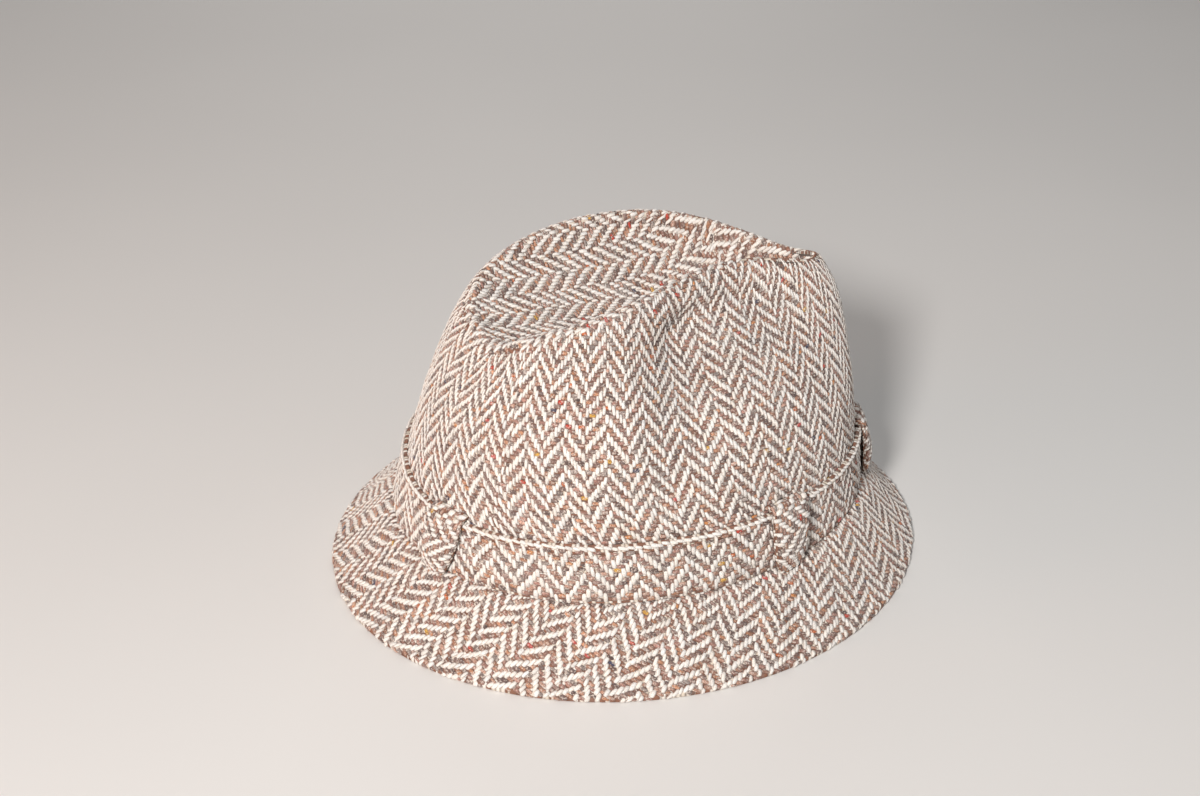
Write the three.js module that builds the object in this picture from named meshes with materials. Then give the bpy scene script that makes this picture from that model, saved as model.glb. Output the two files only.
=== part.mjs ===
// A soft tweed walking hat: a dented crown in two pieces of cloth, a band with five loops, and a
// sloping brim whose edge rests on the surface. Millimetres, +Z up, +X to the front, +Y to the wearer's left.
import * as THREE from "three";
import { mergeVertices } from "three/addons/utils/BufferGeometryUtils.js";

// Cloth
const WALL = 2.2; // crown cloth, measured level
const TIP_CLOTH = 2;
const RIM_BEVEL = 3.4; // drop of the side's upper edge across its thickness
const BAND_CLOTH = 2;
const BAND_FOLD = 0.5; // extra thickness of the band's folded upper edge
const LOOP_CLOTH = 2;
const GAP = 0.3; // between pieces that touch

// Crown
const ROOT_HEIGHT = 28; // seam of crown and brim above the surface
const RIM = { mean: 130, frontOverBack: 3, sidesOverEnds: 5 };
// Two swells of the rim: the soft right back corner hangs a little, and the left side stands higher
const RIM_SWELLS = [
  { angle: -165, spread: 32, rise: -5 },
  { angle: 118, spread: 55, rise: 2.8 },
];
const BAND_RISE = 0.25; // band's upper edge, as a share of the crown's height
const BASE_RISE = 0.18; // behind the band, where the crown's base ends and its side begins
const CROWN_SECTIONS = [
  { rise: 0, front: 105, back: 101.5, half: 86, egg: 0.04 },
  { rise: 0.3, front: 102, back: 94, half: 83, egg: 0.04 },
  { rise: 0.6, front: 98.5, back: 85, half: 76, egg: 0.04 },
  { rise: 0.85, front: 94, back: 76, half: 63, egg: 0.02 },
  { rise: 1, front: 86, back: 69.5, half: 48.5, egg: 0.03 },
];
// The two pinches beside the front, where fingers hold the crown, the bulge of the right back corner,
// and a thumb's hollow that makes the right pinch steeper: place, reach and depth of each
const PINCHES = [
  { angle: -65, spread: 40, rise: 0.9, above: 0.5, below: 0.22, depth: 35 },
  { angle: 34, spread: 25, rise: 0.9, above: 0.5, below: 0.3, depth: 20 },
  { angle: -164, spread: 20, rise: 1, above: 0.5, below: 0.3, depth: -9 },
  { angle: -87, spread: 12, rise: 0.8, above: 0.1, below: 0.2, depth: 16 },
  { angle: -64, spread: 19, rise: 0.85, above: 0.06, below: 0.1, depth: 8 },
  { angle: -95, spread: 10, rise: 0.58, above: 0.12, below: 0.2, depth: 4 },
  { angle: -107, spread: 10, rise: 0.76, above: 0.2, below: 0.3, depth: -3 },
];
// The valley that runs along the tip: its ends, its height, how far it follows the middle of the rim,
// how far it lies aside at the back, and how steeply the tip starts down to it
const VALLEY = { back: -46, front: 42, height: 111.5, backRise: 4, pull: 0.7, aside: -8, bow: 1.7 };

// Brim: the upper and lower skins from the crown's inner face (out 0) to the edge (out 1)
const BRIM_EDGE = { long: 132, half: 115.8 };
const BRIM_SECTIONS = [
  { out: 0, top: 28, under: 25 },
  { out: 0.16, top: 28, under: 25 },
  { out: 0.26, top: 25.6, under: 21.6 },
  { out: 0.5, top: 16.6, under: 12.6 },
  { out: 0.75, top: 8.4, under: 4.6 },
  { out: 0.89, top: 4.5, under: 0 },
  { out: 0.985, top: 2.6, under: 0 },
  { out: 1, top: 1.6, under: 0.8 },
];

// Loops that hold the band: plan angle of each, and the way its middle goes, outward from the wall in
// millimetres and upward in shares of the band's height. Its sides lie on the band, and it is narrower
// at its lower end
const LOOP_WIDTH = 19;
const LOOP_TAPER = 0.4;
const LOOP_REST = 4.4; // middle layer of a loop's sides, outward from the wall
const LOOPS = [
  { name: "loop_front", angle: -13 },
  { name: "loop_right", angle: -66 },
  { name: "loop_right_back", angle: -155 },
  { name: "loop_left_back", angle: 125 },
  { name: "loop_left", angle: 58 },
];
const LOOP_PATH = [
  { out: 4.4, up: 0.03 },
  { out: 7, up: 0.32 },
  { out: 6.4, up: 0.6 },
  { out: 4.6, up: 0.95 },
  { out: 3, up: 1.09 },
  { out: 0.5, up: 1.1 },
];

// Mesh fineness
const SIDES = 84;
const SIDE_RISES = [BAND_RISE, 0.35, 0.45, 0.55, 0.65, 0.73, 0.81, 0.88, 0.94];
const TIP_STEPS = [0, 0.08, 0.2, 0.36, 0.54, 0.76, 1];

const radians = THREE.MathUtils.degToRad;
const gauss = (offset) => Math.exp(-offset * offset);

// Smooth values between the rows of the crown's table
const sections = new THREE.CubicInterpolant(
  CROWN_SECTIONS.map((row) => row.rise),
  CROWN_SECTIONS.flatMap((row) => [row.front, row.back, row.half, row.egg]),
  4,
);

// One at a dent's plan angle, falling off to both sides
function around(dent, angle) {
  const turn = angle - radians(dent.angle) + Math.PI;
  const aside = THREE.MathUtils.euclideanModulo(turn, 2 * Math.PI) - Math.PI;
  return gauss(aside / radians(dent.spread));
}

// How far a pinch pushes the wall towards the middle
function pinchDepth(pinch, angle, rise) {
  const reach = rise > pinch.rise ? pinch.above : pinch.below;
  return pinch.depth * around(pinch, angle) * gauss((rise - pinch.rise) / reach);
}

function rimHeight(angle) {
  const wave = RIM.frontOverBack * Math.cos(angle) - RIM.sidesOverEnds * Math.cos(2 * angle);
  const swells = RIM_SWELLS.map((swell) => swell.rise * around(swell, angle));
  return RIM.mean + wave + swells[0] + swells[1];
}

function crownHeight(angle) {
  return rimHeight(angle) - ROOT_HEIGHT;
}

// Outer skin of the crown's side at a plan angle and a rise from the brim (0) to the rim (1)
function crownPoint(angle, rise) {
  const [front, back, half, egg] = sections.evaluate(rise);
  const x = (front - back) / 2 + ((front + back) / 2) * Math.cos(angle);
  let y = half * Math.sin(angle) * (1 - egg * Math.cos(angle));
  for (const pinch of PINCHES) {
    y -= Math.sign(pinch.angle) * pinchDepth(pinch, angle, rise);
  }
  const z = ROOT_HEIGHT + rise * crownHeight(angle);
  return new THREE.Vector3(x, y, z);
}

// The crown's skin moved level, outward or (below zero) inward
function crownOffset(angle, rise, outward) {
  const step = 0.01;
  const along = crownPoint(angle + step, rise).sub(crownPoint(angle - step, rise));
  const normal = new THREE.Vector3(along.y, -along.x, 0).normalize();
  return crownPoint(angle, rise).addScaledVector(normal, outward);
}

// The bottom line of the tip's valley, the same for an angle and its mirror angle
function valleyPoint(angle) {
  const forward = (1 + Math.cos(angle)) / 2;
  const middle = (crownPoint(angle, 1).y + crownPoint(-angle, 1).y) / 2;
  return new THREE.Vector3(
    THREE.MathUtils.lerp(VALLEY.back, VALLEY.front, forward),
    VALLEY.pull * middle + VALLEY.aside * (1 - forward),
    VALLEY.height + VALLEY.backRise * (1 - forward) ** 2,
  );
}

// The tip from the rim (inward 0) to its valley (inward 1), on its upper or its lower skin
function tipPoint(angle, inward, lower) {
  const rim = crownPoint(angle, 1);
  const valley = valleyPoint(angle);
  const sink = (rim.z - valley.z) * (1 - (1 - inward) ** VALLEY.bow);
  const height = rim.z - sink - (lower ? TIP_CLOTH : 0);
  const edge = lower ? crownPoint(angle, tipEdgeRise(angle)) : rim;
  return edge.lerp(valley, inward).setZ(height);
}

// Rise at which the tip's cloth ends and the side's begins
function tipEdgeRise(angle) {
  return 1 - TIP_CLOTH / crownHeight(angle);
}

function brimPoint(angle, out, height) {
  const inner = crownOffset(angle, 0, -WALL);
  const edge = new THREE.Vector3(BRIM_EDGE.long * Math.cos(angle), BRIM_EDGE.half * Math.sin(angle), 0);
  return inner.lerp(edge, out).setZ(height);
}

// A closed ring or cap: a lathe gives the faces, and place(angle, step of the profile) the points
function turned(steps, place) {
  const stations = steps.map((step, index) => new THREE.Vector2(1, index));
  const geometry = new THREE.LatheGeometry(stations, SIDES);
  geometry.deleteAttribute("normal");
  geometry.deleteAttribute("uv");
  const position = geometry.getAttribute("position");
  for (let side = 0; side <= SIDES; side += 1) {
    const angle = (2 * Math.PI * (side % SIDES)) / SIDES;
    steps.forEach((step, index) => {
      position.setXYZ(side * steps.length + index, ...place(angle, step));
    });
  }
  return mergeVertices(geometry, 1e-4);
}

// A ring of the crown's wall. Each station has a rise and may have a lift from it, and a drop of its
// inner edge, in millimetres
function wallRing(stations) {
  const outer = stations.map(({ rise, lift = 0 }) => ({ rise, lift, depth: 0 }));
  const inner = stations.map(({ rise, lift = 0, drop = 0 }) => ({ rise, lift: lift - drop, depth: -WALL }));
  const profile = [...outer, ...inner.reverse(), outer[0]];
  return turned(profile, (angle, { rise, lift, depth }) => {
    return crownOffset(angle, rise + lift / crownHeight(angle), depth);
  });
}

function crownBase() {
  return wallRing([{ rise: 0, lift: GAP }, { rise: BASE_RISE / 2 }, { rise: BASE_RISE }]);
}

function crownSide() {
  const foot = { rise: BASE_RISE, lift: GAP };
  const top = { rise: 1, lift: -TIP_CLOTH - GAP, drop: RIM_BEVEL };
  return wallRing([foot, ...SIDE_RISES.map((rise) => ({ rise })), top]);
}

function crownTip() {
  const lower = TIP_STEPS.map((inward) => ({ inward, lower: true })).reverse();
  const upper = TIP_STEPS.map((inward) => ({ inward, lower: false }));
  return turned([...lower, ...upper], (angle, step) => tipPoint(angle, step.inward, step.lower));
}

function band() {
  const skin = GAP + BAND_CLOTH;
  const profile = [
    { share: 0, out: skin },
    { share: 0.5, out: skin },
    { share: 0.88, out: skin },
    { share: 0.94, out: skin + BAND_FOLD },
    { share: 0.99, out: skin + BAND_FOLD },
    { share: 1, out: skin },
    { share: 1, out: GAP },
    { share: 0.5, out: GAP },
    { share: 0, out: GAP },
  ];
  return turned([...profile, profile[0]], (angle, { share, out }) => {
    const point = crownOffset(angle, share * BAND_RISE, out);
    return share === 0 ? point.setZ(ROOT_HEIGHT + GAP) : point;
  });
}

function brim() {
  const under = BRIM_SECTIONS.map((row) => ({ out: row.out, height: row.under }));
  const top = BRIM_SECTIONS.map((row) => ({ out: row.out, height: row.top })).reverse();
  const profile = [...under, ...top, under[0]];
  return turned(profile, (angle, { out, height }) => brimPoint(angle, out, height));
}

// One loop: a flat strip, bent to follow its path over the band
function bandLoop(middle) {
  const strip = new THREE.BoxGeometry(LOOP_WIDTH, 1, LOOP_CLOTH, 4, 8, 1);
  strip.deleteAttribute("normal");
  strip.deleteAttribute("uv");
  const position = strip.getAttribute("position");
  const turn = crownPoint(radians(middle + 1), 0).distanceTo(crownPoint(radians(middle), 0));
  for (let index = 0; index < position.count; index += 1) {
    const share = position.getY(index) + 0.5;
    const aside = position.getX(index) / (LOOP_WIDTH / 2);
    const narrow = 1 - LOOP_TAPER * (1 - share) ** 3;
    const angle = radians(middle + (position.getX(index) * narrow) / turn);
    const bandHeight = BAND_RISE * crownHeight(angle);
    const stations = LOOP_PATH.map(({ out, up }) => {
      const arched = out - Math.max(out - LOOP_REST, 0) * aside * aside;
      return new THREE.Vector2(arched, up * bandHeight);
    });
    const path = new THREE.SplineCurve(stations);
    const tangent = path.getTangent(share);
    const side = new THREE.Vector2(tangent.y, -tangent.x);
    const station = path.getPoint(share).addScaledVector(side, position.getZ(index));
    const rise = (BAND_RISE * station.y) / bandHeight;
    position.setXYZ(index, ...crownOffset(angle, rise, station.x));
  }
  return mergeVertices(strip, 1e-4);
}

function piece(name, geometry, color) {
  const material = new THREE.MeshStandardMaterial({ color, roughness: 0.95, metalness: 0 });
  const mesh = new THREE.Mesh(geometry, material);
  mesh.name = name;
  return mesh;
}

const hat = new THREE.Group();
hat.name = "tweed_hat";
hat.add(piece("crown_base", crownBase(), "#c0b0a4"));
hat.add(piece("crown_side", crownSide(), "#c0b0a4"));
hat.add(piece("crown_tip", crownTip(), "#ad9d91"));
hat.add(piece("band", band(), "#bcaca0"));
hat.add(piece("brim", brim(), "#bdab9e"));
for (const { name, angle } of LOOPS) {
  hat.add(piece(name, bandLoop(angle), "#b8a89c"));
}

export default hat;
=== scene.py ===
# %% [markdown]
# # A soft tweed hat
# The hat is sewn from one coarse herringbone tweed: a crown in two pieces of cloth, a band held by
# five loops, and a short sloping brim. The frame has the solids of these pieces. This lesson dresses
# each of them in cloth, and then lays the yarns of the weave on it one by one.

# %% Load the frame
import math

import bmesh
import bpy
import numpy as np
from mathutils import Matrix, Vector
from mathutils.bvhtree import BVHTree


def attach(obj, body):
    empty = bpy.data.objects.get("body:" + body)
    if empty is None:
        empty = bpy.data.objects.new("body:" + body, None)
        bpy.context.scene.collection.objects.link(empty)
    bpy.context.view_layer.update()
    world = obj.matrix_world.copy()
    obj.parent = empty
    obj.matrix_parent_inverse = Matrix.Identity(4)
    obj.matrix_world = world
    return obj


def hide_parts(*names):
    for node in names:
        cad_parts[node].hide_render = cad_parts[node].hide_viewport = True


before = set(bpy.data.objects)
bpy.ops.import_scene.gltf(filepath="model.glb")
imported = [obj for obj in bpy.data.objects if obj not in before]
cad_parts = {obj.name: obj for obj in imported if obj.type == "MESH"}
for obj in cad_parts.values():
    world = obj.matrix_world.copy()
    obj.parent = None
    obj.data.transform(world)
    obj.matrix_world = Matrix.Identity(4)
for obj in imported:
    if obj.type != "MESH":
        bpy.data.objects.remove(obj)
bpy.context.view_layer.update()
MM = 0.001
print("solids in the frame:", ", ".join(sorted(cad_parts)))

# %% [markdown]
# ## The crown's shape
# The crown is an oval wall that leans inward as it rises, with a finger pinch on each side of the
# front. It could be sculpted by hand, but the frame's solids follow a few formulas, so the same
# formulas, in millimetres, give a finer skin that lies where the solids do. They work on whole arrays,
# because every yarn of the weave asks them where it lies.

# %% Sections of the crown
ROOT_HEIGHT = 28
RIM_MEAN = 130
RIM_FRONT_OVER_BACK = 3
RIM_SIDES_OVER_ENDS = 5
# plan angle, spread and rise: the rim hangs at the soft right back corner and stands higher on the left
RIM_SWELLS = ((-165, 32, -5), (118, 55, 2.8))
BAND_RISE = 0.25
# rise, reach to the front, reach to the back, half width, egg shape
CROWN_SECTIONS = np.array([
    (0.00, 105.0, 101.5, 86.0, 0.04),
    (0.30, 102.0, 94.0, 83.0, 0.04),
    (0.60, 98.5, 85.0, 76.0, 0.04),
    (0.85, 94.0, 76.0, 63.0, 0.02),
    (1.00, 86.0, 69.5, 48.5, 0.03),
])
# plan angle, spread, rise, reach above, reach below, depth (below zero it is a bulge): the right and
# left pinches, the full right back corner, then a thumb's hollows in the right pinch and their crest
PINCHES = (
    (-65, 40, 0.9, 0.5, 0.22, 35),
    (34, 25, 0.9, 0.5, 0.30, 20),
    (-164, 20, 1.0, 0.5, 0.30, -9),
    (-87, 12, 0.80, 0.10, 0.2, 16),
    (-64, 19, 0.85, 0.06, 0.1, 8),
    (-95, 10, 0.58, 0.12, 0.2, 4),
    (-107, 10, 0.76, 0.2, 0.3, -3),
)


def crown_sections(rise):
    """Front, back, half width and egg shape at a rise, on a smooth curve through the table's rows."""
    stations, values = CROWN_SECTIONS[:, 0], CROWN_SECTIONS[:, 1:]
    last = len(stations) - 1
    after = np.clip(np.searchsorted(stations, rise, side="right"), 1, last)
    before = after - 1
    low, high = stations[before], stations[after]
    ahead = np.where(after == last, before, after + 1)
    behind = np.where(before == 0, after, before - 1)
    pull_back = (high - low) / 2 / (low - stations[behind])
    pull_on = (high - low) / 2 / (stations[ahead] - high)
    t = (rise - low) / (high - low)
    w_behind = pull_back * (-t**3 + 2 * t**2 - t)
    w_before = (1 + pull_back) * t**3 - (1.5 + 2 * pull_back) * t**2 + (pull_back - 0.5) * t + 1
    w_after = -(1 + pull_on) * t**3 + (1.5 + pull_on) * t**2 + 0.5 * t
    w_ahead = pull_on * (t**3 - t**2)
    parts = ((w_behind, behind), (w_before, before), (w_after, after), (w_ahead, ahead))
    return np.moveaxis(sum(weight[..., None] * values[row] for weight, row in parts), -1, 0)


def beside(angle, middle, spread):
    """One at a plan angle given in degrees, falling off to both sides."""
    aside = (angle - math.radians(middle) + math.pi) % (2 * math.pi) - math.pi
    return np.exp(-((aside / math.radians(spread)) ** 2))


def rim_height(angle):
    wave = RIM_FRONT_OVER_BACK * np.cos(angle) - RIM_SIDES_OVER_ENDS * np.cos(2 * angle)
    return RIM_MEAN + wave + sum(rise * beside(angle, *where) for *where, rise in RIM_SWELLS)


def crown_height(angle):
    return rim_height(angle) - ROOT_HEIGHT


def arrays(*values):
    return np.broadcast_arrays(*(np.asarray(value, float) for value in values))


def crown_point(angle, rise):
    """Outer skin of the crown at a plan angle and a rise from the brim (0) to the rim (1)."""
    angle, rise = arrays(angle, rise)
    front, back, half, egg = crown_sections(rise)
    x = (front - back) / 2 + (front + back) / 2 * np.cos(angle)
    y = half * np.sin(angle) * (1 - egg * np.cos(angle))
    for middle, spread, height, above, below, depth in PINCHES:
        away = (rise - height) / np.where(rise > height, above, below)
        y = y - np.sign(middle) * depth * beside(angle, middle, spread) * np.exp(-(away**2))
    return np.stack([x, y, ROOT_HEIGHT + rise * crown_height(angle)], -1)


SMALL_TURN = 0.01


def crown_offset(angle, rise, outward):
    """The crown's skin moved level, outward or (below zero) inward."""
    along = crown_point(angle + SMALL_TURN, rise) - crown_point(angle - SMALL_TURN, rise)
    level = np.stack([along[..., 1], -along[..., 0], 0 * along[..., 0]], -1)
    level /= np.linalg.norm(level, axis=-1, keepdims=True)
    return crown_point(angle, rise) + level * np.asarray(outward)[..., None]


rim = crown_point(np.radians([0, -90, 180]), 1.0)
print("rim at the front, right and back:", np.round(rim, 1).tolist())

# %% [markdown]
# ## Rim and tip
# At the rim the cloth rolls over in a soft edge. The seam runs along the crest of the roll: the side's
# cloth comes up to it, and the tip, a second piece of cloth, starts there and sinks to a valley. The
# roll is a curve with one control point above the sharp rim of the solid, so its crest reaches the
# solid's outline. It is tighter at the front, where the two sides nearly meet, and wider at the soft
# right back corner.

# %% Rim roll and tip valley
RIM_ROLL = 5.0
ROLL_LIFT = 1.0
SEAM = 0.38
NOSE_ANGLE, NOSE_SPREAD, NOSE_TIGHT = 4, 26, 0.55
CORNER_ANGLE, CORNER_SPREAD, CORNER_SOFT = -155, 45, 1.0
VALLEY_BACK, VALLEY_FRONT = -46, 42
VALLEY_HEIGHT, VALLEY_BACK_RISE = 111.5, 4
VALLEY_PULL, VALLEY_ASIDE, VALLEY_BOW = 0.7, -8, 1.7


def valley_point(angle):
    """The bottom line of the tip's valley, the same for an angle and its mirror angle."""
    forward = (1 + np.cos(angle)) / 2
    middle = (crown_point(angle, 1.0)[..., 1] + crown_point(-angle, 1.0)[..., 1]) / 2
    x = VALLEY_BACK + (VALLEY_FRONT - VALLEY_BACK) * forward
    y = VALLEY_PULL * middle + VALLEY_ASIDE * (1 - forward)
    return np.stack([x, y, VALLEY_HEIGHT + VALLEY_BACK_RISE * (1 - forward) ** 2], -1)


def tip_point(angle, inward):
    """The tip's upper skin, from the rim (0) to the valley (1)."""
    angle, inward = arrays(angle, inward)
    rim, valley = crown_point(angle, 1.0), valley_point(angle)
    sink = 1 - (1 - inward) ** VALLEY_BOW
    share = np.stack([inward, inward, sink], -1)
    return rim + (valley - rim) * share


def roll_size(angle):
    tight = NOSE_TIGHT * beside(angle, NOSE_ANGLE, NOSE_SPREAD)
    soft = CORNER_SOFT * beside(angle, CORNER_ANGLE, CORNER_SPREAD)
    return RIM_ROLL * (1 - tight + soft)


def roll_end(angle):
    """How far inward on the tip the rim's roll ends."""
    reach = crown_point(angle, 1.0) - valley_point(angle)
    return roll_size(angle) / np.hypot(reach[..., 0], reach[..., 1])


def roll_point(angle, t):
    """The rim's roll, from the wall (0) over its crest to the tip (1)."""
    angle, t = arrays(angle, t)
    wall = crown_point(angle, 1 - roll_size(angle) / crown_height(angle))
    rim, end = crown_point(angle, 1.0), tip_point(angle, roll_end(angle))
    lift = ROLL_LIFT * np.minimum(RIM_ROLL / roll_size(angle), 1)
    crest = rim + lift[..., None] * (rim - wall)
    t = t[..., None]
    return (1 - t) ** 2 * wall + 2 * t * (1 - t) * crest + t**2 * end


def side_point(angle, share):
    """The side's outer skin from the brim (0), up the wall to the seam on the rim's roll (1)."""
    angle, share = arrays(angle, share)
    height, size = crown_height(angle), roll_size(angle)
    upright, over = height - size, size * math.pi / 2
    along = share * (upright + SEAM * over)
    wall = crown_point(angle, np.minimum(along, upright) / height)
    t = np.maximum((along - upright) / over, 0)
    return np.where(t[..., None] > 0, roll_point(angle, t), wall)


ends = roll_end(np.radians([0.0, -90.0]))
print("where the roll ends on the tip, at the front and right:", np.round(ends, 3).tolist())

# %% [markdown]
# ## Cutting, bending and sewing
# Cloth is cut flat and then bent, so each piece starts as a flat grid. Its UV map is written while it
# is still flat, counted in yarns, so that the weave follows the cloth wherever it bends. Then a
# function moves the grid to its place, and edges that meet there are sewn by merging their vertices.
# Open edges are marked sharp, so that a wall's thickness does not shade the cloth beside them.

# %% Cut, bend and sew
def cut_cloth(columns, rows):
    bm = bmesh.new()
    bmesh.ops.create_grid(bm, x_segments=columns, y_segments=rows, size=0.5)
    bmesh.ops.translate(bm, verts=bm.verts, vec=(0.5, 0.5, 0))
    return bm


def bend_cloth(bm, place, yarn_count):
    """Writes the UV map in yarns, then moves each vertex of the flat grid to its place."""
    bm.verts.index_update()
    flat = np.array([vert.co[:2] for vert in bm.verts])
    across, along = flat.T
    counted = np.stack(yarn_count(across, along), -1)
    cloth_map = bm.loops.layers.uv.new("cloth")
    for face in bm.faces:
        for corner in face.loops:
            corner[cloth_map].uv = counted[corner.vert.index]
    for vert, spot in zip(bm.verts, place(across, along) * MM):
        vert.co = spot


SEWN_WITHIN, NO_LENGTH = 1e-6, 1e-7


def sew(bm):
    bmesh.ops.remove_doubles(bm, verts=bm.verts, dist=SEWN_WITHIN)
    bmesh.ops.dissolve_degenerate(bm, edges=bm.edges, dist=NO_LENGTH)
    bmesh.ops.recalc_face_normals(bm, faces=bm.faces)
    for edge in bm.edges:
        edge.smooth = not edge.is_boundary


def finish_piece(name, mesh, materials, nodes=()):
    for material in materials:
        mesh.materials.append(material)
    mesh.shade_smooth()
    piece = bpy.data.objects.new(name, mesh)
    bpy.context.scene.collection.objects.link(piece)
    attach(piece, "root")
    if nodes:
        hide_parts(*nodes)
    print(f"{name}: {len(mesh.polygons)} faces")
    return piece


def cloth_piece(name, bm, materials, nodes):
    mesh = bpy.data.meshes.new(name)
    bm.to_mesh(mesh)
    bm.free()
    return finish_piece(name, mesh, materials, nodes)


# %% [markdown]
# ## Shader maths
# A node tree is hard to read as code when every link has a line of its own. This small class wraps a
# socket, so that sums and products of sockets are written as sums and products, and each adds its
# Math node. One method, node, adds any other kind of node.

# %% A socket with operators
def maths(operation, reflected=False):
    """A method that adds one Math node to a socket."""
    def method(self, other=0.0):
        first, second = (other, self) if reflected else (self, other)
        return self.node("Math", {"operation": operation}, {0: first, 1: second})
    return method


class Socket:
    def __init__(self, tree, socket=None):
        self.tree, self.socket = tree, socket

    def node(self, kind, settings=None, inputs=None, out=0):
        made = self.tree.nodes.new("ShaderNode" + kind)
        for key, value in (settings or {}).items():
            if key == "stops":
                self.set_stops(made.color_ramp, value)
            else:
                setattr(made, key, value)
        for key, value in (inputs or {}).items():
            if isinstance(value, Socket):
                self.tree.links.new(value.socket, made.inputs[key])
            else:
                made.inputs[key].default_value = value
        return Socket(self.tree, made.outputs[out])

    @staticmethod
    def set_stops(ramp, stops):
        while len(ramp.elements) < len(stops):
            ramp.elements.new(1)
        for element, (place, colour) in zip(ramp.elements, stops):
            element.position, element.color = place, colour

    __add__ = __radd__ = maths("ADD")
    __sub__, __rsub__ = maths("SUBTRACT"), maths("SUBTRACT", reflected=True)
    __mul__ = __rmul__ = maths("MULTIPLY")
    __mod__ = maths("FLOORED_MODULO")
    __lt__, __gt__ = maths("LESS_THAN"), maths("GREATER_THAN")
    floor, sine = maths("FLOOR"), maths("SINE")

    def mix(self, first, second):
        """A colour mixed from two by this factor."""
        settings = {"data_type": "RGBA", "clamp_factor": True}
        return self.node("Mix", settings, {0: self, 6: first, 7: second}, out=2)


def linear(red, green, blue):
    """A colour as shaders read it, from screen numbers of 0 to 255."""
    share = np.array([red, green, blue]) / 255
    low, high = share / 12.92, ((share + 0.055) / 1.055) ** 2.4
    return tuple(np.where(share <= 0.04045, low, high)) + (1.0,)


def new_finish(name):
    """A material with its shader, ready for sockets: the material, a start for nodes, the shader."""
    finish = bpy.data.materials.new(name)
    finish.use_nodes = True
    tree = finish.node_tree
    return finish, Socket(tree), tree.nodes["Principled BSDF"]


def feed(shader, **values):
    """Sets the shader's sockets, or links them, by name with _ for a space."""
    for key, value in values.items():
        target = shader.inputs[key.replace("_", " ")]
        if isinstance(value, Socket):
            value.tree.links.new(value.socket, target)
        else:
            target.default_value = value


CREAM = linear(247, 242, 235)
print("cream as light:", np.round(CREAM[:3], 3).tolist())

# %% [markdown]
# ## The ground cloth
# Behind the raised yarns lies the ground of the same weave. The tweed is a herringbone: each cream
# yarn, called an end, passes over two brown picks and under two, one pick later than its neighbour,
# and after six ends the step turns the other way. The UV map counts ends and picks, so a few sums on
# it say which yarn is on top. It fills the gaps between the raised yarns and the places without them.

# %% Herringbone ground
COLUMN_ENDS = 6
REPEAT_PICKS = 4
FLOAT_PICKS = 2
# how fast a yarn falls away to its sides, how high brown lies beside cream, and the painted shade in
# gaps
YARN_FALL, BROWN_HEIGHT, GAP_SHADE = 3.2, 0.7, 0.7


def tweed_ground():
    finish, start, shader = new_finish("tweed_ground")
    place = start.node("UVMap", {"uv_map": "cloth"})
    end = place.node("SeparateXYZ", None, {0: place}, out="X")
    pick = place.node("SeparateXYZ", None, {0: place}, out="Y")
    in_repeat = end.floor() % (2 * COLUMN_ENDS)
    turned = in_repeat > COLUMN_ENDS - 0.5
    step = in_repeat + turned * (2 * COLUMN_ENDS + 1 - 2 * in_repeat)
    since_up = (pick.floor() - step) % REPEAT_PICKS
    cream_up = since_up < FLOAT_PICKS - 0.5
    across_end = end % 1 - 0.5
    across_pick = pick % 1 - 0.5
    end_round = 1 - across_end * across_end * YARN_FALL
    pick_round = 1 - across_pick * across_pick * YARN_FALL
    relief = cream_up * end_round + (1 - cream_up) * pick_round * BROWN_HEIGHT
    cell = start.node("CombineXYZ", None, {0: end.floor(), 1: pick.floor()})
    chance = start.node("TexWhiteNoise", {"noise_dimensions": "2D"}, {"Vector": cell}, out="Value")
    stops = [(0, linear(132, 100, 86)), (0.5, linear(164, 116, 94)), (1, linear(146, 124, 114))]
    brown = start.node("ValToRGB", {"stops": stops}, {0: chance})
    pale = start.node("ValToRGB", {"stops": [(0, linear(224, 210, 192)), (1, CREAM)]}, {0: chance})
    weave = cream_up.mix(brown, pale)
    # painted shade: the ground darkens towards the gaps, where the yarns fall away
    shadow = (1 - relief) * GAP_SHADE
    bump = start.node("Bump", None, {"Height": relief, "Distance": 0.0006, "Strength": 0.8})
    feed(shader, Base_Color=shadow.mix(weave, linear(100, 76, 66)), Normal=bump)
    feed(shader, Roughness=0.95, Specular_IOR_Level=0.2)
    return finish


ground = tweed_ground()
print("ground nodes:", len(ground.node_tree.nodes))

# %% [markdown]
# ## The inner face
# The inside of the crown is seen only when the hat is turned over. It is the back of the same cloth,
# and a fine ribbed bump, soft brown blotches and a dull sheen are enough for it.

# %% Inner finish
def inner_cloth():
    finish, start, shader = new_finish("inner_cloth")
    place = start.node("TexCoord", out="Object")
    settings = {"wave_type": "BANDS", "bands_direction": "Z"}
    rows = start.node("TexWave", settings, {"Vector": place, "Scale": 900.0}, out="Fac")
    blotch = start.node("TexNoise", None, {"Vector": place, "Scale": 60.0, "Detail": 4.0}, out="Fac")
    bump = start.node("Bump", None, {"Height": rows, "Distance": 0.0001, "Strength": 0.5})
    feed(shader, Base_Color=blotch.mix(linear(84, 72, 64), linear(112, 97, 86)), Normal=bump)
    feed(shader, Roughness=0.6, Sheen_Weight=0.3)
    return finish


inner = inner_cloth()

# %% [markdown]
# ## Yarns
# What makes this cloth tweed is its yarn: thick soft cream ends that stand proud, and mixed brown
# picks that lie lower between them, with here and there a fleck of colour. A bump map would look flat
# at the edge of the hat, so each stretch of yarn between two crossings, called a float, is a small
# closed lozenge. One lozenge is made with an operator, and arrays repeat it, because the hat has more
# than ten thousand floats.

# %% Which yarn is on top
REPEAT_ENDS = 2 * COLUMN_ENDS


def cream_on_top(end, pick):
    in_repeat = end % REPEAT_ENDS
    step = np.where(in_repeat < COLUMN_ENDS, in_repeat, REPEAT_ENDS + 1 - in_repeat)
    return (pick - step) % REPEAT_PICKS < FLOAT_PICKS


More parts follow.
